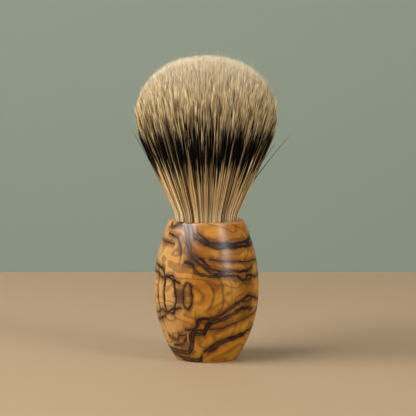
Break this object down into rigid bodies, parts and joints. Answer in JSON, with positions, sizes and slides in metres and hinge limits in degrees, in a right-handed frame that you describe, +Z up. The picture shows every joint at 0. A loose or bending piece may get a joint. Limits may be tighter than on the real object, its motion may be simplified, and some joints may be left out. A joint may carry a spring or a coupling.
{
  "type": "shaving brush",
  "caption": "Shaving brush with a barrel-shaped turned wooden handle and a bulb-shaped natural hair knot bound and glued into its socket.",
  "frame": {"origin": "centre of the handle's foot, on the surface that the brush stands on", "axes": "+Z up the brush from the foot to the hair tips; -Y towards the camera that saw it, +X to its right; round about Z"},
  "size_m": [0.0536, 0.0536, 0.1146],
  "materials": {
    "olive_wood": "figured olive wood with dark veins, under a clear gloss finish",
    "adhesive": "set clear amber two-part adhesive",
    "plug_resin": "cast resin with hair ends in it",
    "thread": "waxed polyester thread",
    "hair_root": "natural hair, pale tan roots",
    "hair_band": "natural hair, near-black band",
    "hair_tip": "natural hair, fine cream tips"
  },
  "bodies": {
    "handle": {"handle": "olive_wood", "setting_adhesive": "adhesive", "knot_plug": "plug_resin", "binding_thread": "thread", "hair_root_zone": "hair_root"},
    "hair_band": {"hair_band_zone": "hair_band"},
    "hair_tips": {"hair_tip_zone": "hair_tip"}
  },
  "joints": [
    {"name": "hair_root_bend", "type": "hinge", "parent": "handle", "child": "hair_band", "pos_m": [0, 0, 0.0617], "axis": [0, 1, 0], "range_deg": [-25, 25], "stiffness_Nm_per_rad": 0.12},
    {"name": "hair_tip_bend", "type": "hinge", "parent": "hair_band", "child": "hair_tips", "pos_m": [0, 0, 0.076], "axis": [1, 0, 0], "range_deg": [-20, 20], "stiffness_Nm_per_rad": 0.06}
  ]
}
